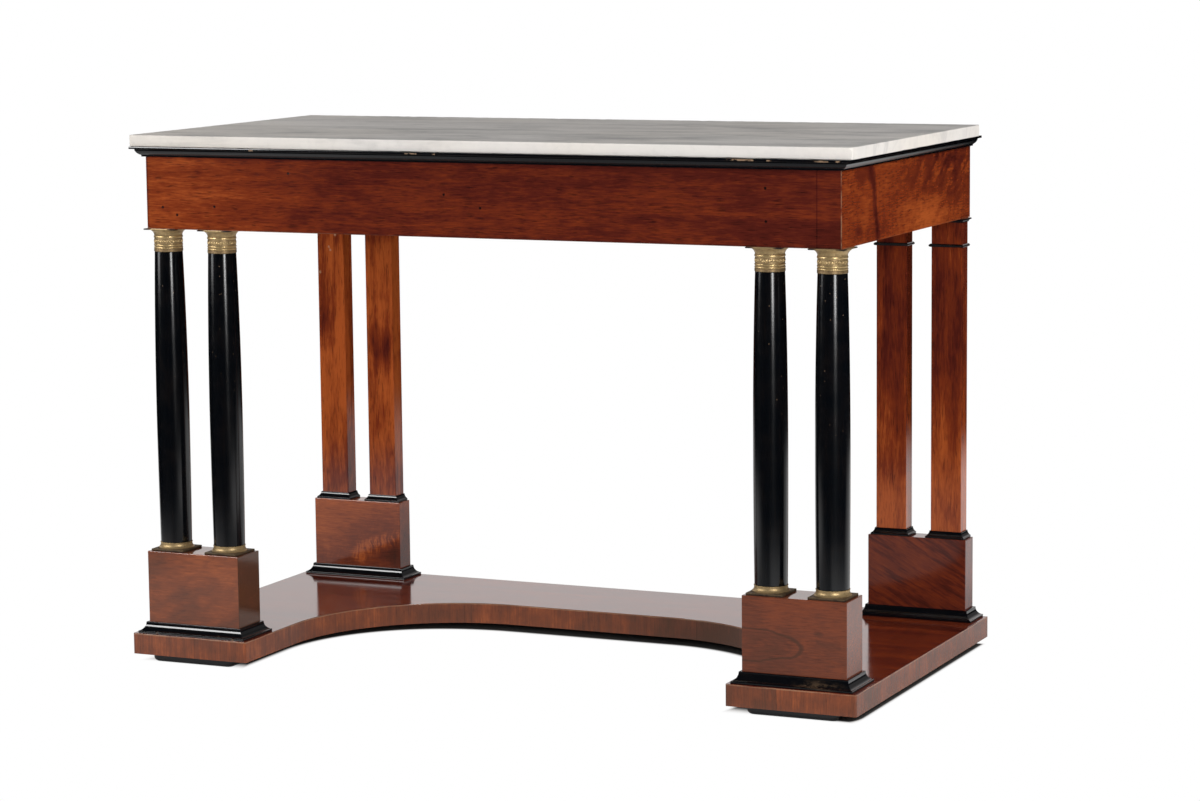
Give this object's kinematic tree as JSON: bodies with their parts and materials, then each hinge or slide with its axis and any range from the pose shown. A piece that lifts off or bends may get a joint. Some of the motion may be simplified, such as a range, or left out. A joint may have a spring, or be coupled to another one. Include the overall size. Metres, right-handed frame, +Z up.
{
  "type": "pier table",
  "caption": "Empire pier table with a marble slab on a mahogany frieze, ebonised columns with brass capitals, flat rear pilasters, plinth blocks and a low platform cut back in front.",
  "frame": {"origin": "on the floor, under the middle of the platform's rectangle", "axes": "+X along the front towards its right end as seen from the front, +Y from the front to the wall behind, +Z up"},
  "size_m": [1.286, 0.65, 0.88],
  "materials": {
    "marble": "polished white marble with soft grey veins",
    "mahogany": "french-polished red-brown mahogany",
    "crossbanding": "french-polished mahogany with its grain upright",
    "ebonised_wood": "black-stained and polished hardwood",
    "gilt_brass": "gilt brass with a dark patina in its hollows",
    "softwood": "planed and aged softwood, unpolished",
    "iron": "dull dark iron"
  },
  "bodies": {
    "root": {"block_moulding_front_left": "ebonised_wood", "block_moulding_front_right": "ebonised_wood", "block_moulding_rear_left": "ebonised_wood", "block_moulding_rear_right": "ebonised_wood", "block_screws": "iron", "capital_left_inner": "gilt_brass", "capital_left_outer": "gilt_brass", "capital_right_inner": "gilt_brass", "capital_right_outer": "gilt_brass", "column_base_left_inner": "gilt_brass", "column_base_left_outer": "gilt_brass", "column_base_right_inner": "gilt_brass", "column_base_right_outer": "gilt_brass", "column_left_inner": "ebonised_wood", "column_left_outer": "ebonised_wood", "column_right_inner": "ebonised_wood", "column_right_outer": "ebonised_wood", "corner_glue_blocks": "softwood", "cornice_front": "ebonised_wood", "cornice_left": "ebonised_wood", "cornice_right": "ebonised_wood", "foot_front_left": "ebonised_wood", "foot_front_right": "ebonised_wood", "foot_rear_left": "ebonised_wood", "foot_rear_right": "ebonised_wood", "foot_screws": "iron", "frieze_rail_back": "softwood", "frieze_rail_front": "softwood", "frieze_rail_left": "softwood", "frieze_rail_right": "softwood", "frieze_veneer_front": "mahogany", "frieze_veneer_left": "mahogany", "frieze_veneer_right": "mahogany", "marble_bearer_left": "softwood", "marble_bearer_right": "softwood", "marble_slab": "marble", "pilaster_base_left_inner": "ebonised_wood", "pilaster_base_left_outer": "ebonised_wood", "pilaster_base_right_inner": "ebonised_wood", "pilaster_base_right_outer": "ebonised_wood", "pilaster_cap_left_inner": "ebonised_wood", "pilaster_cap_left_outer": "ebonised_wood", "pilaster_cap_right_inner": "ebonised_wood", "pilaster_cap_right_outer": "ebonised_wood", "pilaster_left_inner": "mahogany", "pilaster_left_outer": "mahogany", "pilaster_right_inner": "mahogany", "pilaster_right_outer": "mahogany", "pilaster_ring_left_inner": "ebonised_wood", "pilaster_ring_left_outer": "ebonised_wood", "pilaster_ring_right_inner": "ebonised_wood", "pilaster_ring_right_outer": "ebonised_wood", "platform_core": "softwood", "platform_edge_band": "crossbanding", "platform_top_veneer": "mahogany", "plinth_block_front_left": "mahogany", "plinth_block_front_right": "mahogany", "plinth_block_rear_left": "mahogany", "plinth_block_rear_right": "mahogany"}
  },
  "joints": []
}
